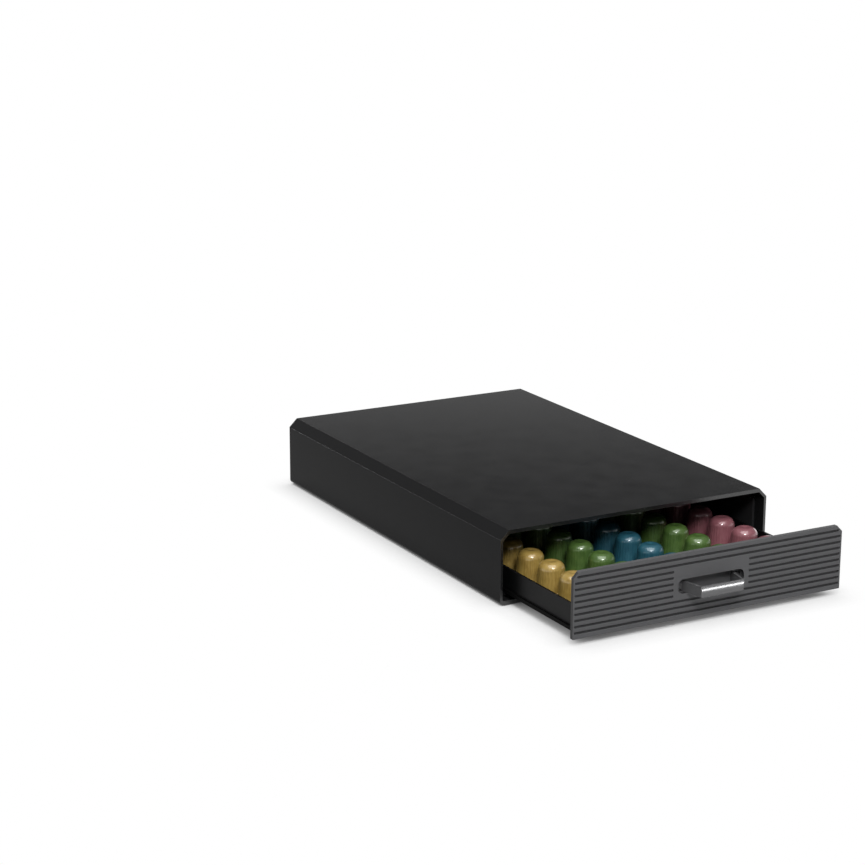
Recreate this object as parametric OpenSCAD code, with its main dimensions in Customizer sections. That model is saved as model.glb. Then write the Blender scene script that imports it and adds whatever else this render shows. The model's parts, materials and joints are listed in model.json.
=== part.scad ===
// Pod drawer: a flat sleeve-like case that carries a coffee machine on its roof and
// holds a sliding tray of upside-down capsules behind a fluted front.
// X is the width, Y runs from front to back, Z is up.
// The origin is the middle of the case's underside. The tray stands partly open.

/* [Case] */
// Width of the case
case_w = 305; // [285:1:335]
// Depth of the case, front rim to rear rim
case_d = 460; // [400:1:520]
// Height of the case without its feet
case_h = 73; // [70:1:90]
// Thickness of the side walls
side_wall = 2.7; // [2:0.1:4]
// Thickness of the roof
roof_wall = 3.9; // [2.5:0.1:5]
// Thickness of the floor
floor_wall = 4; // [3:0.1:5]
// Size of the chamfer along the two long roof edges
roof_chamfer = 9; // [7:0.5:10.5]
// Thickness of the wall behind those chamfers, measured along X
chamfer_wall = 4; // [3.4:0.1:5.6]
// Outer radius of the two long floor edges
floor_edge_r = 4.5; // [2:0.5:6]
// How deep the back plate sits in from the rear rim
back_inset = 10; // [6:0.5:16]
// Thickness of the back plate
back_t = 3; // [2:0.1:4]
// Gap round the back plate
back_gap = 0.15; // [0.1:0.05:0.3]

/* [Feet and buffers] */
// Diameter of a foot
foot_d = 18; // [12:1:24]
// Height that a foot stands below the floor
foot_proud = 1; // [0.5:0.1:2]
// Depth of a foot's pocket in the floor
foot_pocket = 1.5; // [0.8:0.1:2]
// Distance of a foot's centre from the case's sides and rims
foot_inset = 26; // [18:1:40]
// Diameter of a rear buffer
buffer_d = 12; // [8:1:16]
// Free length of a rear buffer
buffer_l = 4.7; // [3:0.1:8]

/* [Guides] */
// Thickness of a guide's upright plate
guide_t = 2.6; // [2:0.1:3.5]
// Distance between a guide's top and the chamfered part of the wall
guide_top_gap = 2.7; // [1:0.1:12]
// How far the guides start behind the front rim
guide_setback = 14.7; // [8:0.1:30]
// How far the guides end before the back plate
guide_rear_gap = 17; // [16:1:30]
// Height of the rail that carries a runner
rail_h = 4.3; // [3:0.1:6]
// Width of that rail, inwards from the upright plate
rail_w = 13.2; // [11:0.1:16]
// Thickness of the rib that holds a runner down
hold_rib_t = 2.2; // [1.5:0.1:3]
// Play between sliding faces
slide_gap = 0.3; // [0.3:0.05:0.5]
// Length of a pull-out stop along the guide
stop_l = 12; // [8:1:16]
// Height of a pull-out stop
stop_h = 12; // [8:1:14]
// Gap between a guide and the end of the tray's lug that meets a stop
lug_gap = 3; // [1:0.1:4]

/* [Travel] */
// How far the front stands out of the case in the modelled pose
open_rest = 122; // [60:1:160]
// How much further the drawer pulls out from there
open_more = 150; // [80:1:160]
// Play between the closed drawer and its rear buffers
close_gap = 0.3; // [0.3:0.1:1]

/* [Tray] */
// Space between a side wall of the case and the tray
tray_side_gap = 9.5; // [8.5:0.1:11]
// Thickness of the tray's walls and floor
tray_wall = 2.2; // [1.6:0.1:3]
// Height of the tray without its runners
tray_h = 20.9; // [18:0.1:28]
// Radius of the tray's rear corners
tray_corner_r = 8; // [4:0.5:12]
// Height of a runner
runner_h = 3.6; // [3:0.1:5]
// Width of a runner
runner_w = 12; // [10:0.5:14]
// How far a runner stands out beyond the tray's side
runner_out = 2; // [1.5:0.1:3]

/* [Seat insert] */
// Thickness of the seat plate
seat_plate_t = 2.4; // [2:0.1:3.5]
// Depth of a capsule seat
seat_depth = 0.9; // [0.7:0.1:1.5]
// Diameter of the hole in the middle of each seat
seat_hole_d = 30; // [20:0.5:32]
// Radial play of a capsule's rim in its seat
seat_play = 0.15; // [0.1:0.05:0.3]
// Thinnest web between two seats of a column
seat_web = 0.4; // [0.4:0.1:2]
// Space between the drawer front and the first capsule's rim
first_rim_gap = 1.6; // [1:0.1:4]
// Play of the insert in the tray
insert_play = 0.3; // [0.1:0.1:0.6]

/* [Capsules] */
// Diameter of a capsule's rim
pod_rim_d = 37; // [36:0.1:38]
// Thickness of the rim
pod_rim_t = 1.1; // [0.8:0.1:1.5]
// Diameter of the body above the rim
pod_base_d = 29.6; // [28:0.1:31]
// Diameter of the body below its dome
pod_neck_d = 24.6; // [23:0.1:26]
// Height of a capsule without its foil
pod_h = 28.4; // [27:0.1:30]
// Radius of the dome's edge
pod_dome_r = 7.4; // [5:0.1:9]
// Diameter of the dimple in the dome
pod_dimple_d = 7.6; // [5:0.1:9]
// Depth of the dimple
pod_dimple = 0.7; // [0.3:0.1:1]
// Wall thickness of a capsule
pod_wall = 0.8; // [0.5:0.1:1.2]
// Thickness of the foil that closes a capsule
foil_t = 0.2; // [0.1:0.1:0.4]
// How many rows are filled, counted from the front
filled_rows = 7; // [1:1:9]

/* [Drawer front] */
// Thickness of the front
front_t = 4; // [3.5:0.1:6]
// Gap between the front and the sides and roof
front_gap = 0.4; // [0.3:0.1:1]
// Gap between the front and the floor
front_floor_gap = 1.4; // [0.5:0.1:2.5]
// Distance between two grooves
groove_pitch = 5.82; // [5:0.01:7]
// Height of the first groove above the front's lower edge
groove_start = 5.8; // [4:0.1:8]
// Width of a groove at the face
groove_w = 2.6; // [1.4:0.1:3]
// Width of a groove at its bottom
groove_root_w = 1; // [0.6:0.1:1.3]
// Depth of a groove
groove_depth = 1.4; // [0.8:0.1:1.6]
// Plain margin between a groove's end and the front's side edge
groove_margin = 1.2; // [0.8:0.1:3]
// Width of the plain field round the pull
plain_w = 86; // [80:1:120]
// Height of the plain field
plain_h = 29; // [22:1:34]
// Height of the plain field's centre above the front's lower edge
plain_z = 34.9; // [30:0.1:38]

/* [Pull] */
// Width of the pocket behind the pull
pocket_w = 73.4; // [71:0.2:78]
// Height of the pocket
pocket_h = 14; // [12:0.2:18]
// Corner radius of the pocket
pocket_r = 6; // [4:0.2:7]
// Depth of the pocket from the front's face
pocket_depth = 8.4; // [7:0.1:8.6]
// Height of the pocket's centre above the front's lower edge
pocket_z = 31.2; // [28:0.1:34]
// Wall thickness of the pocket's cup
cup_wall = 1.4; // [1:0.1:1.8]
// Width of the flange that holds the cup to the front
cup_flange_w = 4; // [3:0.1:5]
// Thickness of that flange
cup_flange_t = 1.2; // [1:0.1:2]
// Width of the pull's bar
pull_bar_w = 47; // [40:0.5:50]
// Width across the pull's two splayed legs where they pass the front's face
pull_leg_w = 55; // [50:0.5:57]
// Height of the pull's band
pull_h = 10.2; // [8:0.1:11]
// Thickness of the band
pull_t = 2; // [1.8:0.1:2.4]
// How far the pull stands out from the front
pull_reach = 18.6; // [12:0.1:24]
// Outer corner radius of the pull
pull_r = 2.6; // [2.5:0.1:6]
// Radius of the bar's crowned face, which stands upright at its lower edge
pull_crown_r = 40; // [36:1:80]
// Height of the pull's two feet, which are bent outwards in the pocket
pull_foot_h = 6.4; // [6:0.1:8]
// Gap between a foot's end and the end of the pocket
pull_foot_gap = 0.8; // [0.5:0.1:1.5]
// Height of the pull's lower edge above the pocket's lower edge
pull_rise = 0.4; // [0.3:0.1:1.5]

/* [Screws] */
// Shank diameter of the screws
screw_d = 2.9; // [2.5:0.1:3.2]
// Head diameter of a screw
screw_head_d = 5.6; // [5:0.1:6]
// Head height of a screw
screw_head_h = 1.6; // [1.2:0.1:2]
// Radial play of a screw in its hole
screw_play = 0.05; // [0.05:0.05:0.15]
// Length of a screw that holds the back plate
back_screw_l = 11; // [8:1:14]
// Shank diameter of the pull's screws
pull_screw_d = 2.4; // [2:0.1:2.6]
// Head diameter of the pull's screws
pull_screw_head_d = 4.4; // [4:0.1:5]

/* [Hidden] */

$fn = 48;
cut = 1;              // how far a cutting shape runs past the face that it opens
columns = 5;

// inside of the case
front_y = -case_d / 2;
rear_y = case_d / 2;
inner_w = case_w - 2 * side_wall;
roof_z = case_h - roof_wall;
inner_chamfer = roof_chamfer + chamfer_wall - side_wall - roof_wall;
inner_floor_r = 1.5;
back_face_y = rear_y - back_inset - back_t;

// guides
guide_x = inner_w / 2 - guide_t;
guide_front_y = front_y + guide_setback;
guide_rear_y = back_face_y - guide_rear_gap;
guide_l = guide_rear_y - guide_front_y;
guide_h = roof_z - inner_chamfer - guide_top_gap - floor_wall;
rail_top = floor_wall + rail_h;

// tray, runners and front
tray_w = inner_w - 2 * tray_side_gap;
runner_bottom = rail_top + slide_gap;
tray_bottom = runner_bottom + runner_h;
tray_top = tray_bottom + tray_h;
tray_floor_z = tray_bottom + tray_wall;
tray_rear_y = back_face_y - buffer_l - close_gap - open_rest;
hold_rib_z = tray_bottom + slide_gap;
hold_rib_x = tray_w / 2 + 2 * slide_gap;

face_y = front_y - open_rest;
front_back_y = face_y + front_t;
front_w = inner_w - 2 * front_gap;
front_bottom = floor_wall + front_floor_gap;
front_top = roof_z - front_gap;
front_h = front_top - front_bottom;
front_lower_r = 0.6;
front_chamfer = gapped_chamfer(front_gap);
groove_count = floor((front_h - groove_start - groove_w) / groove_pitch) + 1;
groove_end_x = front_w / 2 - groove_margin - groove_w / 2;
tray_l = tray_rear_y - front_back_y;

// pull-out stops and the lugs that meet them
stop_z = hold_rib_z + hold_rib_t + 3;
stop_x = tray_w / 2 + 3 * slide_gap;
stop_y = guide_front_y + 4;
stop_peg_d = 5;
lug_out = guide_x - tray_w / 2 - lug_gap;
lug_y = stop_y + stop_l + open_more + slide_gap;

// seats and capsules
tray_inner_w = tray_w - 2 * tray_wall;
column_pitch = tray_inner_w / columns;
row_pitch = pod_rim_d + 2 * seat_play + seat_web;
first_row_y = front_back_y + first_rim_gap + pod_rim_d / 2;
seat_area_l = tray_rear_y - tray_wall - insert_play - front_back_y - first_rim_gap;
rows = floor(seat_area_l / row_pitch);
insert_top = tray_floor_z + seat_plate_t;
seat_z = insert_top - seat_depth;
pod_z = seat_z + foil_t;

// pull
pocket_centre_z = front_bottom + pocket_z;
pocket_back_y = face_y + pocket_depth;
pull_z = pocket_centre_z - pocket_h / 2 + pull_rise;
pull_bar_y = face_y - pull_reach;
pull_splay = (pull_leg_w - pull_bar_w) / 2 / pull_reach;
pull_leg_t = pull_t * sqrt(1 + pull_splay * pull_splay);    // a leg's width along X
pull_crown_lead = 0.4;      // how far the band's plan runs past its crowned face
pull_screw_x = pocket_w / 2 - pull_foot_gap - pull_foot_h / 2;
pull_screw_z = pull_z + pull_h / 2;
pull_screw_l = cup_wall + pull_t;

// fastening points
back_boss_r = 4.6;
back_boss_l = 14;
back_boss_x = inner_w / 2 - back_boss_r + 0.3;
back_boss_zs = [20, roof_z - inner_chamfer - back_boss_r - 2];
guide_screw_x = guide_x - rail_w / 2;
guide_screw_l = floor_wall + rail_h - 1;
guide_screw_ys = [for (i = [0 : 2]) guide_front_y + 40 + i * (guide_l - 80) / 2];
runner_x = tray_w / 2 + runner_out;
runner_screw_x = tray_w / 2 - runner_w / 2 + 2;
runner_screw_l = runner_h + tray_wall - 0.8;
runner_screw_ys = [for (i = [0 : 3]) front_back_y + 30 + i * (tray_l - 60) / 3];
ear_w = 8;
ear_z = tray_bottom + 9;
ear_h = tray_top - ear_z - 1;
ear_screw_z = ear_z + ear_h / 2;
ear_screw_x = tray_inner_w / 2 - ear_w / 2;
ear_screw_l = tray_wall + front_t - groove_depth - 0.6;
foot_block_x = tray_w / 3.5;
foot_block_w = 22;
foot_block_l = 11;
foot_block_h = tray_bottom - front_bottom - 2.5;
foot_screw_y = front_back_y + foot_block_l / 2;
foot_screw_l = foot_block_h + tray_wall - 0.8;
buffer_x = case_w * 0.36;
buffer_z = tray_bottom + tray_h / 2;
buffer_stem_d = 4;

// ---- shared shapes ---------------------------------------------------------

// Chamfer of a plate that has this gap to the sides and roof, and about as much at the chamfers
function gapped_chamfer(gap) = inner_chamfer - gap / 2;

// Upright outline, centred in X from z = 0 up, with chamfers at the top and round corners below
module case_outline(w, h, chamfer, r) {
    union() {
        polygon([[-w / 2, r], [w / 2, r], [w / 2, h - chamfer], [w / 2 - chamfer, h],
                 [chamfer - w / 2, h], [-w / 2, h - chamfer]]);
        translate([r - w / 2, 0]) square([w - 2 * r, h / 2]);
        for (side = [-1, 1]) translate([side * (w / 2 - r), r]) circle(r = r);
    }
}

// Rectangle with four equal round corners, centred
module round_rect(w, h, r) {
    union() {
        square([w - 2 * r, h], center = true);
        square([w, h - 2 * r], center = true);
        for (sx = [-1, 1], sy = [-1, 1])
            translate([sx * (w / 2 - r), sy * (h / 2 - r)]) circle(r = r);
    }
}

// Stands an XY outline up in the XZ plane and runs it l back from y
module upright(y, l) {
    translate([0, y + l, 0]) rotate([90, 0, 0]) linear_extrude(height = l) children();
}

// Cross recess of a screw's head, from z = 0 down
module cross_recess(depth) {
    for (a = [0, 90])
        rotate([0, 0, a]) translate([-1.5, -0.35, -depth]) cube([3, 0.7, depth + cut]);
}

// Pan-head screw: the head stands above z = 0 and the shank runs down
module pan_screw(d, l, head_d, head_h) {
    difference() {
        union() {
            translate([0, 0, -l]) cylinder(h = l, d = d);
            cylinder(h = head_h * 0.45, d = head_d);
            translate([0, 0, head_h * 0.45])
                cylinder(h = head_h * 0.55, d1 = head_d, d2 = head_d * 0.62);
        }
        translate([0, 0, head_h]) cross_recess(head_h * 0.6);
    }
}

// Countersunk screw: its head's face is at z = 0 and the shank runs up
module sunk_screw(d, l, head_d, head_h) {
    difference() {
        union() {
            cylinder(h = head_h, d1 = head_d, d2 = d);
            cylinder(h = l, d = d);
        }
        mirror([0, 0, 1]) cross_recess(head_h * 0.5);
    }
}

// Hole for a countersunk screw that enters upwards at z = 0
module sunk_hole(l) {
    play = 2 * screw_play;
    translate([0, 0, -0.01])
        cylinder(h = screw_head_h + 0.01, d1 = screw_head_d + play, d2 = screw_d + play);
    translate([0, 0, -0.01]) cylinder(h = l + 0.3, d = screw_d + play);
}

// ---- case ------------------------------------------------------------------

module foot_places() {
    for (sx = [-1, 1], sy = [-1, 1])
        translate([sx * (case_w / 2 - foot_inset), sy * (case_d / 2 - foot_inset), 0]) children();
}

module back_screw_places() {
    for (sx = [-1, 1], z = back_boss_zs)
        translate([sx * back_boss_x, 0, z]) children();
}

module guide_screw_places() {
    for (sx = [-1, 1], y = guide_screw_ys)
        translate([sx * guide_screw_x, y, 0]) children();
}

module case_sleeve() {
    color([0.13, 0.13, 0.14]) difference() {
        union() {
            difference() {
                upright(front_y, case_d) case_outline(case_w, case_h, roof_chamfer, floor_edge_r);
                translate([0, 0, floor_wall]) upright(front_y - cut, case_d + 2 * cut)
                    case_outline(inner_w, roof_z - floor_wall, inner_chamfer, inner_floor_r);
            }
            back_screw_places()
                translate([0, back_face_y, 0]) rotate([90, 0, 0]) cylinder(h = back_boss_l, r = back_boss_r);
        }
        back_screw_places() translate([0, back_face_y + cut, 0]) rotate([90, 0, 0])
            cylinder(h = back_screw_l + cut, d = screw_d + 2 * screw_play);
        foot_places() translate([0, 0, -cut]) cylinder(h = foot_pocket + cut, d = foot_d + 0.2);
        guide_screw_places() sunk_hole(guide_screw_l);
    }
}

module back_plate() {
    color([0.11, 0.11, 0.12]) difference() {
        translate([0, 0, floor_wall + back_gap]) upright(back_face_y, back_t)
            case_outline(inner_w - 2 * back_gap, roof_z - floor_wall - 2 * back_gap,
                         gapped_chamfer(back_gap), inner_floor_r);
        back_screw_places() translate([0, back_face_y - cut, 0]) rotate([-90, 0, 0])
            cylinder(h = back_t + 2 * cut, d = screw_d + 0.5);
        for (side = [-1, 1]) translate([side * buffer_x, back_face_y - cut, buffer_z])
            rotate([-90, 0, 0]) cylinder(h = back_t + 2 * cut, d = buffer_stem_d + 0.2);
    }
}

module back_screws() {
    color([0.45, 0.45, 0.46]) back_screw_places()
        translate([0, back_face_y + back_t, 0]) rotate([-90, 0, 0])
            pan_screw(screw_d, back_screw_l + back_t - 0.5, screw_head_d, screw_head_h);
}

// The left guide; the right one is its mirror image
module guide() {
    difference() {
        union() {
            translate([-inner_w / 2, guide_front_y, floor_wall + inner_floor_r])
                cube([guide_t, guide_l, guide_h - inner_floor_r]);
            translate([-inner_w / 2 + inner_floor_r, guide_front_y, floor_wall])
                cube([rail_w + guide_t - inner_floor_r, guide_l, rail_h]);
            translate([-guide_x - 0.01, guide_front_y, hold_rib_z])
                cube([guide_x - hold_rib_x + 0.01, guide_l, hold_rib_t]);
        }
        translate([-guide_x - guide_t - cut, stop_y + stop_l / 2, stop_z + stop_h / 2])
            rotate([0, 90, 0]) cylinder(h = guide_t + 2 * cut, d = stop_peg_d + 0.1);
        guide_screw_places() sunk_hole(guide_screw_l);
    }
}

module guide_left() {
    color([0.2, 0.2, 0.21]) guide();
}

module guide_right() {
    color([0.2, 0.2, 0.21]) mirror([1, 0, 0]) guide();
}

module guide_screws() {
    color([0.45, 0.45, 0.46]) guide_screw_places()
        sunk_screw(screw_d, guide_screw_l, screw_head_d, screw_head_h);
}

module pull_out_stops() {
    color([0.3, 0.3, 0.31]) for (side = [-1, 1]) union() {
        translate([min(side * stop_x, side * guide_x), stop_y, stop_z])
            cube([guide_x - stop_x, stop_l, stop_h]);
        translate([side * (guide_x - 0.5), stop_y + stop_l / 2, stop_z + stop_h / 2])
            rotate([0, side * 90, 0]) cylinder(h = guide_t + 0.3, d = stop_peg_d);
    }
}

module rear_buffers() {
    color([0.16, 0.16, 0.16]) for (side = [-1, 1])
        translate([side * buffer_x, back_face_y, buffer_z]) rotate([90, 0, 0]) union() {
            cylinder(h = buffer_l - 1, d = buffer_d);
            translate([0, 0, buffer_l - 1]) cylinder(h = 1, d1 = buffer_d, d2 = buffer_d - 2);
            translate([0, 0, -back_t]) cylinder(h = back_t, d = buffer_stem_d);
        }
}

module feet() {
    color([0.12, 0.12, 0.12]) foot_places() translate([0, 0, -foot_proud]) union() {
        cylinder(h = 0.6, d1 = foot_d - 1.2, d2 = foot_d);
        translate([0, 0, 0.6]) cylinder(h = foot_proud + foot_pocket - 0.6, d = foot_d);
    }
}

// ---- drawer ----------------------------------------------------------------

module runner_screw_places(side) {
    for (y = runner_screw_ys) translate([side * runner_screw_x, y, runner_bottom]) children();
}

module foot_block_places() {
    for (side = [-1, 1]) translate([side * foot_block_x, 0, 0]) children();
}

// Tray outline seen from above: square at the front, round corners at the rear
module tray_plan(w, y0, y1, r) {
    union() {
        translate([-w / 2, y0]) square([w, y1 - y0 - r]);
        translate([-w / 2 + r, y0]) square([w - 2 * r, y1 - y0]);
        for (side = [-1, 1]) translate([side * (w / 2 - r), y1 - r]) circle(r = r);
    }
}

module tray() {
    color([0.17, 0.17, 0.18]) difference() {
        union() {
            difference() {
                translate([0, 0, tray_bottom]) linear_extrude(height = tray_h)
                    tray_plan(tray_w, front_back_y, tray_rear_y, tray_corner_r);
                translate([0, 0, tray_floor_z]) linear_extrude(height = tray_h)
                    tray_plan(tray_inner_w, front_back_y - cut, tray_rear_y - tray_wall,
                              tray_corner_r - tray_wall);
            }
            // ears that take the front's upper screws, and lugs that meet the stops
            for (side = [-1, 1]) {
                translate([side > 0 ? tray_inner_w / 2 - ear_w : -tray_inner_w / 2 - 0.01,
                           front_back_y, ear_z]) cube([ear_w + 0.01, tray_wall, ear_h]);
                translate([side > 0 ? tray_w / 2 - 0.01 : -tray_w / 2 - lug_out, lug_y, stop_z])
                    cube([lug_out + 0.01, stop_l, stop_h]);
            }
        }
        for (side = [-1, 1]) {
            runner_screw_places(side) cylinder(h = runner_screw_l + 0.3, d = screw_d + 2 * screw_play);
            translate([side * ear_screw_x, front_back_y - cut, ear_screw_z]) rotate([-90, 0, 0])
                cylinder(h = tray_wall + 2 * cut, d = screw_d + 0.5);
        }
        foot_block_places() translate([0, foot_screw_y, tray_bottom - cut])
            cylinder(h = cut + tray_wall - 0.5, d = screw_d + 2 * screw_play);
    }
}

// Flat strip under one side of the tray, standing out as the sliding edge
module runner(side) {
    difference() {
        translate([side > 0 ? runner_x - runner_w : -runner_x, front_back_y, runner_bottom])
            cube([runner_w, tray_l - tray_corner_r, runner_h]);
        runner_screw_places(side) sunk_hole(runner_screw_l);
    }
}

module runner_left() {
    color([0.24, 0.24, 0.25]) runner(-1);
}

module runner_right() {
    color([0.24, 0.24, 0.25]) runner(1);
}

module runner_screws() {
    color([0.45, 0.45, 0.46]) for (side = [-1, 1])
        runner_screw_places(side) sunk_screw(screw_d, runner_screw_l, screw_head_d, screw_head_h);
}

module seat_insert() {
    insert_w = tray_inner_w - 2 * insert_play;
    insert_rear_y = tray_rear_y - tray_wall - insert_play;
    color([0.14, 0.14, 0.15]) difference() {
        translate([0, 0, tray_floor_z]) linear_extrude(height = seat_plate_t)
            tray_plan(insert_w, front_back_y, insert_rear_y, tray_corner_r - tray_wall);
        for (c = [0 : columns - 1], r = [0 : rows - 1])
            translate([(c - (columns - 1) / 2) * column_pitch, first_row_y + r * row_pitch, 0]) {
                translate([0, 0, seat_z])
                    cylinder(h = seat_depth + cut, d = pod_rim_d + 2 * seat_play);
                translate([0, 0, tray_floor_z - cut])
                    cylinder(h = seat_plate_t + 2 * cut, d = seat_hole_d);
            }
    }
}

// One groove along X with round ends centred at x0 and x1, cut into the face
module groove(x0, x1) {
    translate([x0, face_y, 0]) rotate([90, 0, 90]) linear_extrude(height = x1 - x0)
        polygon([[-cut, groove_w / 2], [0, groove_w / 2], [groove_depth, groove_root_w / 2],
                 [groove_depth, -groove_root_w / 2], [0, -groove_w / 2], [-cut, -groove_w / 2]]);
    for (x = [x0, x1]) translate([x, face_y, 0]) rotate([-90, 0, 0])
        cylinder(h = groove_depth, d1 = groove_w, d2 = groove_root_w);
}

module front_grooves() {
    for (i = [0 : groove_count - 1]) {
        rel_z = groove_start + i * groove_pitch;
        end_x = groove_end_x - max(rel_z + groove_w / 2 - front_h + front_chamfer, 0);
        translate([0, 0, front_bottom + rel_z])
            if (abs(rel_z - plain_z) < plain_h / 2) {
                groove(-end_x, -plain_w / 2);
                groove(plain_w / 2, end_x);
            } else {
                groove(-end_x, end_x);
            }
    }
}

module drawer_front() {
    color([0.33, 0.33, 0.34]) difference() {
        union() {
            translate([0, 0, front_bottom]) upright(face_y, front_t)
                case_outline(front_w, front_h, front_chamfer, front_lower_r);
            foot_block_places() translate([-foot_block_w / 2, front_back_y - 0.01, tray_bottom - foot_block_h])
                cube([foot_block_w, foot_block_l + 0.01, foot_block_h]);
        }
        front_grooves();
        translate([0, 0, pocket_centre_z]) upright(face_y - cut, front_t + 2 * cut)
            round_rect(pocket_w, pocket_h, pocket_r);
        for (side = [-1, 1]) translate([side * ear_screw_x, front_back_y + cut, ear_screw_z])
            rotate([90, 0, 0]) cylinder(h = ear_screw_l - tray_wall + cut + 0.2, d = screw_d + 2 * screw_play);
        foot_block_places() translate([0, foot_screw_y, tray_bottom - foot_block_h])
            sunk_hole(foot_screw_l);
    }
}

module front_screws() {
    color([0.45, 0.45, 0.46]) {
        for (side = [-1, 1]) translate([side * ear_screw_x, front_back_y + tray_wall, ear_screw_z])
            rotate([-90, 0, 0]) pan_screw(screw_d, ear_screw_l, screw_head_d, screw_head_h);
        foot_block_places() translate([0, foot_screw_y, tray_bottom - foot_block_h])
            sunk_screw(screw_d, foot_screw_l, screw_head_d, screw_head_h);
    }
}

module pull_screw_places() {
    for (side = [-1, 1]) translate([side * pull_screw_x, 0, pull_screw_z]) children();
}

module pull_cup() {
    cup_l = pocket_back_y + cup_wall - front_back_y;
    color([0.2, 0.2, 0.21]) difference() {
        translate([0, 0, pocket_centre_z]) union() {
            upright(front_back_y, cup_l)
                round_rect(pocket_w + 2 * cup_wall, pocket_h + 2 * cup_wall, pocket_r + cup_wall);
            upright(front_back_y, cup_flange_t)
                round_rect(pocket_w + 2 * cup_flange_w, pocket_h + 2 * cup_flange_w,
                           pocket_r + cup_flange_w);
        }
        translate([0, 0, pocket_centre_z]) upright(front_back_y - cut, cup_l + cut - cup_wall)
            round_rect(pocket_w, pocket_h, pocket_r);
        pull_screw_places() translate([0, pocket_back_y - cut, 0]) rotate([-90, 0, 0])
            cylinder(h = cup_wall + 2 * cut, d = pull_screw_d + 0.3);
    }
}

// Half the width across the outsides of the pull's legs at y
function pull_leg_x(y) = pull_bar_w / 2 + (y - pull_bar_y) * pull_splay;

// Plan outline of the pull, from half width x0 at y0 to half width x1 at y1,
// with round front corners that are tangent to the bar and to the splayed legs
module pull_plan(x0, x1, y0, y1, r) {
    splay = atan(pull_splay);
    corner_x = x0 - r / tan((90 + splay) / 2);
    leg_start = [corner_x + r * cos(splay), y0 + r - r * sin(splay)];
    union() {
        for (side = [-1, 1]) translate([side * corner_x, y0 + r]) circle(r = r);
        polygon([[-corner_x, y0], [corner_x, y0], leg_start, [x1, y1],
                 [-x1, y1], [-leg_start[0], leg_start[1]]]);
    }
}

// Bar and legs: one bent strip, open to the back
module pull_strip() {
    outer_y = pull_bar_y - pull_crown_lead;
    inner_y = pull_bar_y + pull_t;
    linear_extrude(height = pull_h) difference() {
        pull_plan(pull_leg_x(outer_y), pull_leg_x(pocket_back_y), outer_y, pocket_back_y, pull_r);
        pull_plan(pull_leg_x(inner_y) - pull_leg_t, pull_leg_x(pocket_back_y + cut) - pull_leg_t,
                  inner_y, pocket_back_y + cut, pull_r - pull_t);
    }
}

module pull_band() {
    foot_y = pocket_back_y - pull_t;
    foot_x = pull_leg_x(foot_y) - pull_leg_t / 2;
    color([0.62, 0.62, 0.64]) difference() {
        union() {
            translate([0, 0, pull_z]) intersection() {
                pull_strip();
                translate([-pull_leg_w, pull_bar_y + pull_crown_r, 0]) rotate([0, 90, 0])
                    cylinder(h = 2 * pull_leg_w, r = pull_crown_r);
            }
            for (side = [-1, 1]) {
                translate([side > 0 ? foot_x : -pull_screw_x, foot_y, pull_screw_z - pull_foot_h / 2])
                    cube([pull_screw_x - foot_x, pull_t, pull_foot_h]);
                translate([side * pull_screw_x, foot_y, pull_screw_z]) rotate([-90, 0, 0])
                    cylinder(h = pull_t, d = pull_foot_h);
            }
        }
        pull_screw_places() translate([0, pocket_back_y + cut, 0]) rotate([90, 0, 0])
            cylinder(h = pull_t + 2 * cut, d = pull_screw_d + 2 * screw_play);
    }
}

module pull_screws() {
    color([0.45, 0.45, 0.46]) pull_screw_places() translate([0, pocket_back_y + cup_wall, 0])
        rotate([-90, 0, 0]) pan_screw(pull_screw_d, pull_screw_l, pull_screw_head_d, 1.2);
}

// ---- capsules --------------------------------------------------------------

// Half section of a capsule's outside, shrunk by inset all round
module pod_section(inset) {
    dome_r = pod_dome_r - inset;
    neck_r = pod_neck_d / 2 - inset;
    shoulder_z = pod_h - pod_dome_r;
    top_z = pod_h - inset;
    union() {
        polygon([[0, 0], [pod_base_d / 2 - inset, 0], [pod_base_d / 2 - inset, pod_rim_t],
                 [neck_r, shoulder_z], [0, shoulder_z]]);
        translate([neck_r - dome_r, shoulder_z]) intersection() {
            circle(r = dome_r);
            square([dome_r + cut, dome_r + cut]);
        }
        square([neck_r - dome_r, top_z]);
    }
}

// Thin shell, open at the foil side, with a round-edged rim and a dimpled dome
module pod() {
    rotate_extrude() difference() {
        union() {
            pod_section(0);
            square([(pod_rim_d - pod_rim_t) / 2, pod_rim_t]);
            translate([(pod_rim_d - pod_rim_t) / 2, pod_rim_t / 2]) circle(d = pod_rim_t);
        }
        difference() {
            pod_section(pod_wall);
            translate([0, pod_h - pod_dimple - pod_wall])
                square([pod_dimple_d / 2 + pod_wall, pod_dimple + pod_wall]);
        }
        translate([0, -cut]) square([pod_base_d / 2 - pod_wall, cut + 0.01]);
        translate([0, pod_h - pod_dimple]) square([pod_dimple_d / 2, pod_dimple + cut]);
    }
}

module pod_column(column) {
    for (r = [0 : min(filled_rows, rows) - 1])
        translate([(column - (columns - 1) / 2) * column_pitch, first_row_y + r * row_pitch, 0])
            children();
}

module pods_amber() {
    color([0.80, 0.62, 0.28]) pod_column(0) translate([0, 0, pod_z]) pod();
}

module pods_green_left() {
    color([0.42, 0.66, 0.35]) pod_column(1) translate([0, 0, pod_z]) pod();
}

module pods_blue() {
    color([0.25, 0.55, 0.68]) pod_column(2) translate([0, 0, pod_z]) pod();
}

module pods_green_right() {
    color([0.42, 0.66, 0.35]) pod_column(3) translate([0, 0, pod_z]) pod();
}

module pods_pink() {
    color([0.80, 0.47, 0.54]) pod_column(4) translate([0, 0, pod_z]) pod();
}

module pod_foils() {
    color([0.75, 0.75, 0.76]) for (column = [0 : columns - 1])
        pod_column(column) translate([0, 0, seat_z]) cylinder(h = foil_t, d = pod_rim_d - pod_rim_t);
}

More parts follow.
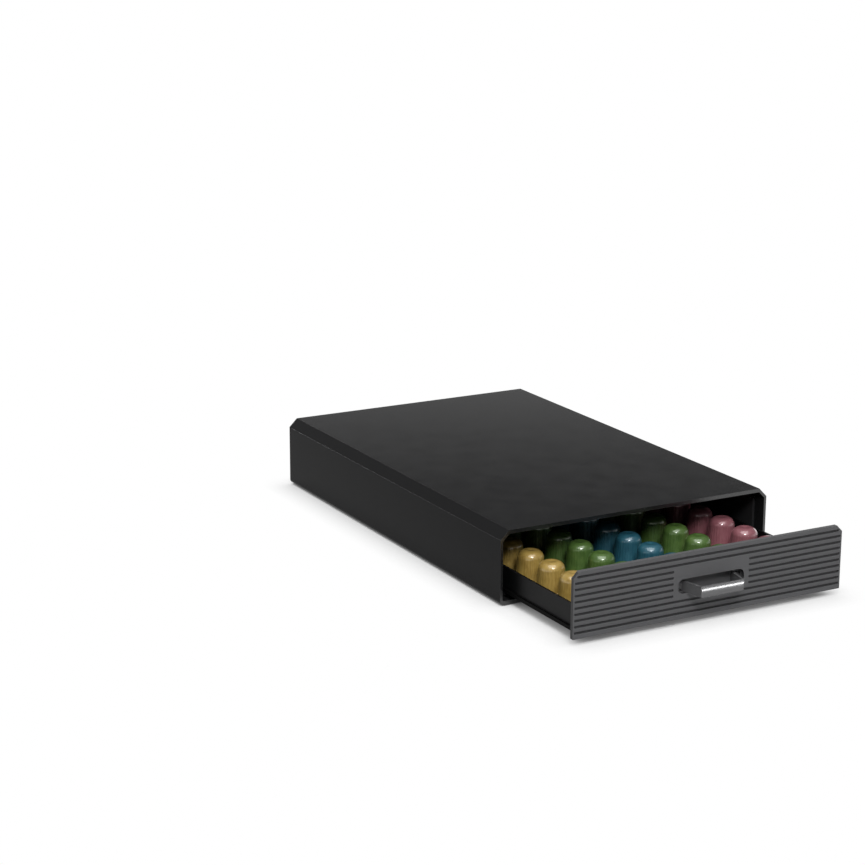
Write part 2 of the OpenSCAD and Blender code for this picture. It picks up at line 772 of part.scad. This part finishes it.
case_sleeve();
back_plate();
back_screws();
guide_left();
guide_right();
guide_screws();
pull_out_stops();
rear_buffers();
feet();
tray();
runner_left();
runner_right();
runner_screws();
seat_insert();
drawer_front();
front_screws();
pull_cup();
pull_band();
pull_screws();
pods_amber();
pods_green_left();
pods_blue();
pods_green_right();
pods_pink();
pod_foils();
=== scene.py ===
"""Coffee pod drawer: finishes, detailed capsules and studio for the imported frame.

Lengths are in metres. +X is to the right seen from the front, +Y goes from the front to the back, and
+Z goes up."""

import json
import math

import bpy
from mathutils import Matrix, Vector


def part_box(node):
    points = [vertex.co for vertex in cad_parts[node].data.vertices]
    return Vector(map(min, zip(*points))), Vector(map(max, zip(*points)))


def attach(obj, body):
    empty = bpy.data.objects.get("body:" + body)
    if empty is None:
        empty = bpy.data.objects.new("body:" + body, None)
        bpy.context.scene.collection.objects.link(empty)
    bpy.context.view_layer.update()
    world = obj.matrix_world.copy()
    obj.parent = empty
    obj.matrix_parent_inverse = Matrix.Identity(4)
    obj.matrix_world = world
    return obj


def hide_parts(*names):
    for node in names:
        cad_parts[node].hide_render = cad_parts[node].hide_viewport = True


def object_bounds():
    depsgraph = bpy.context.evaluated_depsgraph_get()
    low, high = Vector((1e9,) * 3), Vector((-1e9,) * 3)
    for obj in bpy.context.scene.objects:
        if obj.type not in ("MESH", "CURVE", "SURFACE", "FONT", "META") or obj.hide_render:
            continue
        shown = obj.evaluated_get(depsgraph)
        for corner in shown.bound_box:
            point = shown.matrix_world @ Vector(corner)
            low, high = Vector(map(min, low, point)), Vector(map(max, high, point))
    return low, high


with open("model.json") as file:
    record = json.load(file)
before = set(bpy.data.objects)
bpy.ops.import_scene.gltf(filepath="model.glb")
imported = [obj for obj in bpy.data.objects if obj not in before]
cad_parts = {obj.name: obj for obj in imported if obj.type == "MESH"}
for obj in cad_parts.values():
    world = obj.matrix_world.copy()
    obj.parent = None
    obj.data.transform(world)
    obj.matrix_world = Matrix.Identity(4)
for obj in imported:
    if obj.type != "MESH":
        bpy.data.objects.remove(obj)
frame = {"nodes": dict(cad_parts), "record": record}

NODES = frame["nodes"]
CAD_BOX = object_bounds()
MM = 0.001

# ---- camera ----------------------------------------------------------------

CAMERA_PLACE = (-1.1581, -1.9306, 0.7031)
CAMERA_YAW = 28.75      # degrees to the right of +Y
CAMERA_PITCH = 15.17    # degrees down
CAMERA_ROLL = 0.2       # degrees
SENSOR = 36.0           # millimetres, as is the lens
LENS = 93.03
CAMERA_REACH = 200.0    # metres, past the floor's far edge


def make_camera():
    """The photograph's viewpoint."""
    yaw, pitch, roll = (math.radians(a) for a in (CAMERA_YAW, CAMERA_PITCH, CAMERA_ROLL))
    forward = Vector((math.sin(yaw) * math.cos(pitch), math.cos(yaw) * math.cos(pitch), -math.sin(pitch)))
    right = Vector((math.cos(yaw), -math.sin(yaw), 0))
    up = right.cross(forward)
    x_axis = math.cos(roll) * right + math.sin(roll) * up
    y_axis = math.cos(roll) * up - math.sin(roll) * right
    data = bpy.data.cameras.new("camera")
    data.sensor_width = SENSOR
    data.lens = LENS
    data.clip_end = CAMERA_REACH
    camera = bpy.data.objects.new("camera", data)
    bpy.context.scene.collection.objects.link(camera)
    turn = Matrix((x_axis, y_axis, -forward)).transposed().to_4x4()
    camera.matrix_world = Matrix.Translation(CAMERA_PLACE) @ turn
    bpy.context.scene.camera = camera


# ---- node helpers ----------------------------------------------------------

def add_node(tree, kind, inputs=None, **settings):
    """A new node. Its inputs take plain values or other nodes' sockets."""
    node = tree.nodes.new(kind)
    for name, value in settings.items():
        setattr(node, name, value)
    for name, value in (inputs or {}).items():
        if isinstance(value, bpy.types.NodeSocket):
            tree.links.new(value, node.inputs[name])
        else:
            node.inputs[name].default_value = value
    return node


def math_node(tree, operation, a, b):
    """The result of one sum on two numbers or sockets."""
    return add_node(tree, "ShaderNodeMath", {0: a, 1: b}, operation=operation).outputs[0]


def noise(tree, size, detail, stretch=(1, 1, 1)):
    """Noise from 0 to 1 in the object's own space, with grains of this size in metres times stretch."""
    where = add_node(tree, "ShaderNodeTexCoord").outputs["Object"]
    scale = tuple(1 / (size * s) for s in stretch)
    moved = add_node(tree, "ShaderNodeMapping", {"Vector": where, "Scale": scale}).outputs[0]
    return add_node(tree, "ShaderNodeTexNoise", {"Vector": moved, "Scale": 1.0, "Detail": detail}).outputs[0]


def spread(tree, source, low, high):
    """Noise's usual range, 0.3 to 0.7, mapped to low to high."""
    inputs = {"Value": source, "From Min": 0.3, "From Max": 0.7, "To Min": low, "To Max": high}
    return add_node(tree, "ShaderNodeMapRange", inputs).outputs[0]


def fade(tree, source, start, end, first, last):
    """A smooth change from first, where source is start or less, to last, where it is end or more."""
    inputs = {"Value": source, "From Min": start, "From Max": end, "To Min": first, "To Max": last}
    return add_node(tree, "ShaderNodeMapRange", inputs, interpolation_type="SMOOTHSTEP").outputs[0]


def shade(tree, colour, amount):
    """colour times a varying amount."""
    return add_node(tree, "ShaderNodeVectorMath", {"Vector": colour, "Scale": amount},
                    operation="SCALE").outputs[0]


def blend(tree, share, first, second):
    """A colour that goes from first to second as share goes from 0 to 1."""
    mix = add_node(tree, "ShaderNodeMix", {"Factor": share}, data_type="RGBA")
    sockets = {socket.identifier: socket for socket in (*mix.inputs, *mix.outputs)}
    sockets["A_Color"].default_value = (*first, 1)
    sockets["B_Color"].default_value = (*second, 1)
    return sockets["Result_Color"]


def bump(tree, height, depth):
    """A normal that follows height, where 1 stands depth metres above 0."""
    inputs = {"Height": height, "Distance": depth, "Strength": 1.0}
    return add_node(tree, "ShaderNodeBump", inputs).outputs[0]


def depth_fade(tree, face, reach, share, top):
    """1 in front of the plane y = face and above z = top, falling smoothly to share at reach behind it: a
    factor that paints shade into a colour.
    """
    where = add_node(tree, "ShaderNodeTexCoord").outputs["Object"]
    place = add_node(tree, "ShaderNodeSeparateXYZ", {"Vector": where})
    depth = fade(tree, place.outputs["Y"], face, face + reach, 1.0, share)
    above = math_node(tree, "GREATER_THAN", place.outputs["Z"], top)
    return math_node(tree, "MAXIMUM", depth, above)


def new_material(name, **sockets):
    """A material with these values on its Principled shader. Returns it, its tree and the shader."""
    material = bpy.data.materials.new(name)
    material.use_nodes = True
    tree = material.node_tree
    shader = tree.nodes["Principled BSDF"]
    for socket, value in sockets.items():
        shader.inputs[socket.replace("_", " ")].default_value = value
    return material, tree, shader


def feed(tree, shader, **sockets):
    """Links sockets to the shader's inputs of these names."""
    for name, source in sockets.items():
        tree.links.new(source, shader.inputs[name.replace("_", " ")])


# ---- kinds of material -----------------------------------------------------

def moulded_plastic(name, colour, roughness, specular, grain=0.35 * MM, depth=0.004 * MM, groove_shade=None):
    """Plastic with a fine moulded grain, faint clouds of colour and a little uneven gloss.

    groove_shade holds depth_fade's values, for a surface with grooves that little light reaches; it paints
    their shade into the colour."""
    material, tree, shader = new_material(name, Specular_IOR_Level=specular)
    clouds = noise(tree, 28 * MM, 4.0)
    skin = noise(tree, grain, 3.0)
    rubbed = noise(tree, 22 * MM, 3.0)
    level = math_node(tree, "ADD", spread(tree, clouds, 0.98, 1.02), spread(tree, skin, -0.04, 0.04))
    if groove_shade:
        level = math_node(tree, "MULTIPLY", level, depth_fade(tree, **groove_shade))
    feed(tree, shader, Base_Color=shade(tree, colour, level),
         Roughness=spread(tree, rubbed, roughness - 0.02, roughness + 0.02),
         Normal=bump(tree, skin, depth))
    return material


def edge_plastic(name, colour, roughness, specular, groove_shade=None):
    """The same plastic on a rounded edge or rim, with its own gloss; a colour paler than the faces' paints a
    highlight there.
    """
    material, tree, shader = new_material(name, Specular_IOR_Level=specular)
    wear = noise(tree, 3 * MM, 4.0)
    level = spread(tree, wear, 0.92, 1.1)
    if groove_shade:
        level = math_node(tree, "MULTIPLY", level, depth_fade(tree, **groove_shade))
    feed(tree, shader, Base_Color=shade(tree, colour, level),
         Roughness=spread(tree, wear, roughness - 0.04, roughness + 0.04))
    return material


def lacquered_capsule(name, deep, colour):
    """Drawn aluminium under coloured lacquer: a deeper tone in its faint draw lines, and a clear coat."""
    material, tree, shader = new_material(name, Metallic=0.12, Coat_Weight=1.0, Coat_Roughness=0.035,
                                          Coat_IOR=1.5, Specular_IOR_Level=0.6)
    lines = noise(tree, 0.9 * MM, 2.0, stretch=(1, 1, 16))
    clouds = noise(tree, 7 * MM, 2.0)
    tone = math_node(tree, "ADD", spread(tree, lines, 0.0, 0.45), spread(tree, clouds, 0.0, 0.55))
    feed(tree, shader, Base_Color=blend(tree, tone, deep, colour),
         Roughness=spread(tree, lines, 0.38, 0.48), Normal=bump(tree, lines, 0.003 * MM))
    return material


def brushed_metal(name, colour, roughness, line, stretch, metallic=1.0):
    """Metal with fine lines of this width. A lower metallic gives it a satin, dusty cast."""
    material, tree, shader = new_material(name, Metallic=metallic)
    lines = noise(tree, line, 3.0, stretch)
    cloud = noise(tree, 6 * MM, 3.0)
    level = math_node(tree, "ADD", spread(tree, lines, 0.92, 1.04), spread(tree, cloud, -0.04, 0.04))
    feed(tree, shader, Base_Color=shade(tree, colour, level),
         Roughness=spread(tree, lines, roughness - 0.03, roughness + 0.05),
         Normal=bump(tree, lines, 0.002 * MM))
    return material


def rubber(name):
    """Matt rubber with a dusty, pitted skin."""
    material, tree, shader = new_material(name, Specular_IOR_Level=0.3)
    pits = noise(tree, 0.5 * MM, 4.0)
    dust = noise(tree, 4 * MM, 3.0)
    feed(tree, shader, Base_Color=shade(tree, (0.018, 0.018, 0.018), spread(tree, dust, 0.8, 1.5)),
         Roughness=spread(tree, pits, 0.72, 0.9), Normal=bump(tree, pits, 0.03 * MM))
    return material


def lid_foil(name):
    """Embossed aluminium foil."""
    material, tree, shader = new_material(name, Metallic=1.0)
    emboss = noise(tree, 1.6 * MM, 1.0)
    feed(tree, shader, Base_Color=shade(tree, (0.62, 0.62, 0.64), spread(tree, emboss, 0.9, 1.05)),
         Roughness=spread(tree, emboss, 0.28, 0.42), Normal=bump(tree, emboss, 0.08 * MM))
    return material


# ---- materials of the record's slots ---------------------------------------

CASE_COLOUR = (0.0100, 0.0100, 0.0104)
FRONT_LOW, FRONT_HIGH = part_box("drawer_front")
GROOVE_SHADE = {        # painted shade inside the front's grooves, but not on its top edge
    "face": FRONT_LOW[1] - 0.05 * MM,
    "reach": 0.6 * MM,
    "share": 0.40,
    "top": FRONT_HIGH[2] - 1 * MM,
}
PULL_LINES = {"line": 0.12 * MM, "stretch": (60, 60, 1)}    # along the band
SCREW_LINES = {"line": 0.3 * MM, "stretch": (1, 1, 1)}      # a grain without direction

PLASTICS = {
    "case_black": dict(colour=CASE_COLOUR, roughness=0.15, specular=0.03),
    "guide_black": dict(colour=(0.020, 0.020, 0.021), roughness=0.4, specular=0.4),
    "tray_charcoal": dict(colour=(0.0035, 0.0035, 0.0037), roughness=0.42, specular=0.08),
    "runner_charcoal": dict(colour=(0.003, 0.003, 0.0031), roughness=0.5, specular=0.02),
    "insert_black": dict(colour=(0.010, 0.010, 0.011), roughness=0.5, specular=0.1),
    "front_charcoal": dict(colour=(0.078, 0.078, 0.081), roughness=0.46, specular=0.15,
                           grain=0.3 * MM, depth=0.006 * MM, groove_shade=GROOVE_SHADE),
    "cup_charcoal": dict(colour=(0.09, 0.09, 0.094), roughness=0.45, specular=0.2),
}
LACQUERS = {
    "pod_amber": dict(deep=(0.27, 0.17, 0.034), colour=(0.45, 0.31, 0.082)),
    "pod_green": dict(deep=(0.046, 0.100, 0.018), colour=(0.092, 0.170, 0.038)),
    "pod_blue": dict(deep=(0.010, 0.070, 0.108), colour=(0.024, 0.118, 0.160)),
    "pod_pink": dict(deep=(0.235, 0.078, 0.095), colour=(0.30, 0.115, 0.135)),
}
METALS = {
    "pull_metal": dict(colour=(0.105, 0.105, 0.108), roughness=0.1, metallic=0.25, **PULL_LINES),
    "screw_steel": dict(colour=(0.5, 0.5, 0.5), roughness=0.32, **SCREW_LINES),
}
# colours paler than their faces': painted highlights along the rounded edges
PLASTIC_EDGES = {
    "case_black": dict(colour=(0.019, 0.019, 0.020), roughness=0.34, specular=0.3),
    "tray_charcoal": dict(colour=(0.050, 0.050, 0.051), roughness=0.34, specular=0.5),
    "front_charcoal": dict(colour=(0.10, 0.10, 0.104), roughness=0.4, specular=0.2,
                           groove_shade=GROOVE_SHADE),
}
# a colour far paler than the pull's own: a painted highlight along its rounded edges
PULL_EDGE = dict(colour=(0.50, 0.50, 0.505), roughness=0.2, metallic=0.35, **PULL_LINES)

MATERIALS = {"rubber_black": rubber("rubber_black"), "foil": lid_foil("foil")}
for maker, looks in ((moulded_plastic, PLASTICS), (lacquered_capsule, LACQUERS), (brushed_metal, METALS)):
    MATERIALS |= {slot: maker(slot, **look) for slot, look in looks.items()}
EDGE_MATERIALS = {slot: edge_plastic(slot + "_edge", **look) for slot, look in PLASTIC_EDGES.items()}
EDGE_MATERIALS["pull_metal"] = brushed_metal("pull_metal_edge", **PULL_EDGE)
RIM_MATERIAL = edge_plastic("case_black_rim", CASE_COLOUR, roughness=0.2, specular=0.9)

# ---- CAD nodes -------------------------------------------------------------

SMALL_ROUND = ("tray", "runner_left", "runner_right", "guide_left", "guide_right", "back_plate", "pull_cup",
               "feet", "pull_out_stops")
EDGE_ROUND = {"case_sleeve": 0.6 * MM, "drawer_front": 0.45 * MM, "pull_band": 0.75 * MM,
              "seat_insert": 0.15 * MM, **dict.fromkeys(SMALL_ROUND, 0.3 * MM)}
ROUND_SEGMENTS = 3
SHARP_TURN = math.radians(28)       # edges that turn by more than this are rounded
FLAT_TURN = math.radians(0.6)       # faces that turn by less than this are joined into one
CORNER_GAP = 0.001 * MM             # imported corners nearer than this are one corner
FRONT_MARKS = {                     # the foremost faces' own material, and how deep they go
    "case_sleeve": (RIM_MATERIAL, 0.05 * MM),               # the rim round the opening
    "pull_screws": (MATERIALS["cup_charcoal"], 2.5 * MM),   # blackened tips, which show in the pocket
}


def geometry_group(name):
    """An empty geometry group, with the socket its geometry comes from and the one it goes to."""
    group = bpy.data.node_groups.new(name, "GeometryNodeTree")
    for direction in ("INPUT", "OUTPUT"):
        group.interface.new_socket("Geometry", in_out=direction, socket_type="NodeSocketGeometry")
    return group, add_node(group, "NodeGroupInput").outputs[0], add_node(group, "NodeGroupOutput").inputs[0]


def compare(group, operation, a, b):
    """Where the comparison of two numbers or sockets holds."""
    return add_node(group, "FunctionNodeCompare", {"A": a, "B": b},
                    data_type="FLOAT", operation=operation).outputs[0]


def make_sharp_corners():
    """A geometry group that joins imported corners and marks only the edges past SHARP_TURN as sharp."""
    group, start, end = geometry_group("sharp_corners")
    joined = add_node(group, "GeometryNodeMergeByDistance", {"Geometry": start, "Distance": CORNER_GAP})
    turn = add_node(group, "GeometryNodeInputMeshEdgeAngle").outputs["Unsigned Angle"]
    sharp = compare(group, "GREATER_THAN", turn, SHARP_TURN)
    normals = add_node(group, "GeometryNodeSetMeshNormal",
                       {"Mesh": joined.outputs[0], "Edge Sharpness": sharp}, mode="SHARPNESS")
    group.links.new(normals.outputs[0], end)
    return group


def mark_front(node, material, depth):
    """Gives the foremost faces of a CAD node, down to this depth along Y, another material."""
    node.data.materials.append(material)
    slot = len(node.data.materials) - 1
    group, start, end = geometry_group("marked_front")
    place = add_node(group, "GeometryNodeInputPosition").outputs[0]
    y = add_node(group, "ShaderNodeSeparateXYZ", {"Vector": place}).outputs["Y"]
    foremost = compare(group, "LESS_THAN", y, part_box(node.name)[0][1] + depth)
    marked = add_node(group, "GeometryNodeSetMaterialIndex",
                      {"Geometry": start, "Selection": foremost, "Material Index": slot})
    group.links.new(marked.outputs[0], end)
    node.modifiers.new("marked_front", "NODES").node_group = group


def round_edges(node, width, edge_slot, sharp_corners):
    """Rounds a CAD node's sharp edges, which take the material in this slot."""
    node.modifiers.new("joined", "NODES").node_group = sharp_corners
    flat = node.modifiers.new("flat", "DECIMATE")
    flat.decimate_type = "DISSOLVE"
    flat.angle_limit = FLAT_TURN
    rounded = node.modifiers.new("rounded", "BEVEL")
    rounded.limit_method = "ANGLE"
    rounded.angle_limit = SHARP_TURN
    rounded.width = width
    rounded.segments = ROUND_SEGMENTS
    rounded.harden_normals = True
    rounded.material = edge_slot


def dress_nodes():
    """Each CAD node gets its record slot's material, and its sharp edges a small radius."""
    slots = {row["node"]: row["material_slot"] for row in frame["record"]["subparts"]}
    sharp_corners = make_sharp_corners()
    for name, node in NODES.items():
        slot = slots[name]
        materials = node.data.materials
        materials.clear()
        materials.append(MATERIALS[slot])
        edge_slot = -1      # the edge keeps its faces' material
        # a paler edge material paints a highlight along the rounded edges
        if name in EDGE_ROUND and slot in EDGE_MATERIALS:
            edge_slot = len(materials)
            materials.append(EDGE_MATERIALS[slot])
        if name in FRONT_MARKS:
            mark_front(node, *FRONT_MARKS[name])
        if name in EDGE_ROUND:
            round_edges(node, EDGE_ROUND[name], edge_slot, sharp_corners)


# ---- capsules --------------------------------------------------------------

COLUMNS = {"pods_amber": "pod_amber", "pods_green_left": "pod_green", "pods_blue": "pod_blue",
           "pods_green_right": "pod_green", "pods_pink": "pod_pink"}
DIMPLE_R, DIMPLE_DEPTH = 4.5 * MM, 0.8 * MM
DOME_R, NECK_R = 8.1 * MM, 12.8 * MM
FOOT_R = 14.65 * MM     # the body's radius above its flange
FOOT_FILLET = 0.85 * MM
FLANGE_TOP = 0.6 * MM
CURL_R = 0.55 * MM      # the rolled rim's own radius
FLARE = 1.25            # over 1, the body widens more towards its foot
FLUTES = 30             # shallow flutes round a capsule's body
FLUTE_DEPTH = 0.36 * MM
BODY_RINGS = ((0.15, 1), (0.35, 1), (0.6, 1), (0.8, 0.8), (0.92, 0.3), (1, 0))   # way down, share of flute
FLUTE_STEPS = 4         # mesh steps round each flute
RING_STEPS = FLUTES * FLUTE_STEPS
DIMPLE_STEPS, DOME_STEPS, FILLET_STEPS, CURL_STEPS = 6, 14, 4, 10


def arc(centre, radius, start, end, steps):
    """Points of an arc in a half section. Its angles are in degrees, from outward up."""
    angles = (math.radians(start + (end - start) * i / steps) for i in range(steps + 1))
    return [(centre[0] + radius * math.cos(a), centre[1] + radius * math.sin(a)) for a in angles]


def capsule_section(rim_r, height):
    """Half section from the dimple's middle to the closed underside: radius, height, share of flute."""
    dimple = []
    for i in range(DIMPLE_STEPS + 1):
        part = i / DIMPLE_STEPS
        dimple.append((DIMPLE_R * part, height - DIMPLE_DEPTH * (1 + math.cos(math.pi * part)) / 2, 0))
    shoulder = height - DOME_R
    dome = []       # the flutes fade out over its lowest third
    for i, (r, z) in enumerate(arc((NECK_R - DOME_R, shoulder), DOME_R, 90, 0, DOME_STEPS)):
        dome.append((r, z, max(0.0, 3 * i / DOME_STEPS - 2)))
    foot = FLANGE_TOP + FOOT_FILLET
    body = []
    for part, flute in BODY_RINGS:
        body.append((NECK_R + (FOOT_R - NECK_R) * part ** FLARE, shoulder + (foot - shoulder) * part, flute))
    fillet = arc((FOOT_R + FOOT_FILLET, foot), FOOT_FILLET, 180, 270, FILLET_STEPS)[1:]
    curl = arc((rim_r - CURL_R, CURL_R), CURL_R, 165, -90, CURL_STEPS)
    under = [(rim_r - 3 * CURL_R, CURL_R / 2), (0.0, CURL_R / 2)]      # a flat lid inside the rolled rim
    return dimple + dome + body + [(r, z, 0) for r, z in fillet + curl + under]


def one_capsule(rim_r, height):
    """Points and faces of a closed capsule that stands on the origin."""
    points, faces, rings = [], [], []
    for radius, z, flute in capsule_section(rim_r, height):
        if radius == 0:
            rings.append([len(points)] * RING_STEPS)
            points.append((0.0, 0.0, z))
            continue
        rings.append(range(len(points), len(points) + RING_STEPS))
        for i in range(RING_STEPS):
            angle = 2 * math.pi * i / RING_STEPS
            reach = radius - flute * FLUTE_DEPTH * (1 - math.cos(FLUTES * angle)) / 2
            points.append((reach * math.cos(angle), reach * math.sin(angle), z))
    for upper, lower in zip(rings, rings[1:]):
        for i in range(RING_STEPS):
            j = (i + 1) % RING_STEPS
            corners = (upper[i], lower[i], lower[j], upper[j])
            faces.append(tuple(dict.fromkeys(corners)))     # a triangle where a ring is one point
    return points, faces


def make_column(name, places, rim_r, height):
    """One mesh of capsules that stand at these places."""
    capsule_points, capsule_faces = one_capsule(rim_r, height)
    points, faces = [], []
    for place in places:
        first = len(points)
        points += [tuple(a + b for a, b in zip(place, point)) for point in capsule_points]
        faces += [tuple(first + corner for corner in face) for face in capsule_faces]
    mesh = bpy.data.meshes.new(name)
    mesh.from_pydata(points, [], faces)
    mesh.polygons.foreach_set("use_smooth", [True] * len(faces))
    column = bpy.data.objects.new(name, mesh)
    bpy.context.scene.collection.objects.link(column)
    return column


def make_capsules():
    """A detailed column of capsules in the place of each plain one."""
    for node, slot in COLUMNS.items():
        low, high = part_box(node)
        rim_r = (high[0] - low[0]) / 2
        rows = round((high[1] - low[1]) / (2 * rim_r))
        pitch = (high[1] - low[1] - 2 * rim_r) / (rows - 1)
        places = [(low[0] + rim_r, low[1] + rim_r + row * pitch, low[2]) for row in range(rows)]
        column = make_column(node + "_detailed", places, rim_r, high[2] - low[2])
        column.data.materials.append(MATERIALS[slot])
        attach(column, "drawer")
        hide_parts(node)


# ---- studio ----------------------------------------------------------------

FLOOR_SIZE = 60.0
PAPER = (0.55, 0.55, 0.55, 1)   # the tone in which the floor lights the object
WHITE = (1, 1, 1, 1)            # the tone in which the floor and the walls are seen
SHADOW_REACH = 0.034            # metres from the object over which the floor darkens: painted contact shade over the lamps' real shadow
SHADOW_POWER = 1.1
SHADOW_SAMPLES = 12
WORLD_LEVEL = 0.12              # the air's brightness, where 1 is white
WALL_TOP = (13.9, 15.1)         # degrees up over which the white walls fade into the air
LAMPS = {                       # place, target, width, height and brightness, where 1 is white
    "overhead": ((-0.35, -0.75, 1.7), (0, -0.1, 0), 1.7, 1.5, 3.4),
    "key": ((-0.42, -1.15, 0.9), (0, -0.25, 0.04), 0.34, 0.24, 35.0),               # the domes' highlights
    "low_strip": ((0.27, -0.73, 0.0165), (0.0, -0.37, 0.0165), 0.17, 0.031, 20.0),  # the pull's face
    "rear_left": ((-0.62, 1.23, 0.79), (-0.15, 0.0, 0.07), 0.9, 0.8, 0.7),          # the roof's sheen
    "back_fill": ((-0.45, 2.3, 0.34), (0, 0.23, 0.04), 1.5, 0.5, 7.0),
    "right_fill": ((2.1, 1.1, 0.34), (0.15, 0, 0.04), 1.5, 0.5, 1.3),
}


def seen_rays(tree):
    """1 for what the camera sees, also in a mirroring surface, and 0 for what only lights the scene."""
    path = add_node(tree, "ShaderNodeLightPath").outputs
    return math_node(tree, "MAXIMUM", path["Is Camera Ray"], path["Is Glossy Ray"])


def make_floor():
    """A white floor that keeps the object's shadow from the lamps, with painted contact shade near the
    object.
    """
    mesh = bpy.data.meshes.new("floor")
    half = FLOOR_SIZE / 2
    level = CAD_BOX[0][2]
    corners = [(-half, -half, level), (half, -half, level), (half, half, level), (-half, half, level)]
    mesh.from_pydata(corners, [], [(0, 1, 2, 3)])
    floor = bpy.data.objects.new("floor", mesh)
    bpy.context.scene.collection.objects.link(floor)
    material = bpy.data.materials.new("floor")
    material.use_nodes = True
    tree = material.node_tree
    tree.nodes.clear()
    # near the object, occlusion fades the white glow into the lamp-lit paper: painted contact shade
    open_sky = add_node(tree, "ShaderNodeAmbientOcclusion", {"Distance": SHADOW_REACH},
                        samples=SHADOW_SAMPLES).outputs["AO"]
    share = math_node(tree, "MULTIPLY", seen_rays(tree), math_node(tree, "POWER", open_sky, SHADOW_POWER))
    paper = add_node(tree, "ShaderNodeBsdfDiffuse", {"Color": PAPER}).outputs[0]
    glow = add_node(tree, "ShaderNodeEmission", {"Color": WHITE, "Strength": 1.0}).outputs[0]
    mixed = add_node(tree, "ShaderNodeMixShader", {0: share, 1: paper, 2: glow}).outputs[0]
    add_node(tree, "ShaderNodeOutputMaterial", {"Surface": mixed})
    mesh.materials.append(material)


def make_world():
    """Grey studio air, with white walls round the floor that the camera and glossy surfaces see."""
    world = bpy.data.worlds.new("studio")
    world.use_nodes = True
    tree = world.node_tree
    direction = add_node(tree, "ShaderNodeTexCoord").outputs["Generated"]
    height = add_node(tree, "ShaderNodeSeparateXYZ", {"Vector": direction}).outputs["Z"]
    start, end = (math.sin(math.radians(angle)) for angle in WALL_TOP)
    wall = fade(tree, height, start, end, 1.0 - WORLD_LEVEL, 0.0)
    level = math_node(tree, "ADD", math_node(tree, "MULTIPLY", seen_rays(tree), wall), WORLD_LEVEL)
    background = tree.nodes["Background"]
    background.inputs["Color"].default_value = WHITE
    tree.links.new(level, background.inputs["Strength"])
    bpy.context.scene.world = world


def make_lamps():
    """Rectangular lamps that face their targets. The camera doesn't see them."""
    for name, (place, target, width, height, brightness) in LAMPS.items():
        data = bpy.data.lights.new(name, "AREA")
        data.shape = "RECTANGLE"
        data.size = width
        data.size_y = height
        data.energy = brightness * width * height * math.pi
        lamp = bpy.data.objects.new(name, data)
        bpy.context.scene.collection.objects.link(lamp)
        lamp.location = place
        lamp.rotation_euler = (Vector(target) - Vector(place)).to_track_quat("-Z", "Y").to_euler()
        lamp.visible_camera = False


bpy.context.scene.view_settings.view_transform = "Standard"
make_camera()
make_world()
make_lamps()
make_floor()
dress_nodes()
make_capsules()
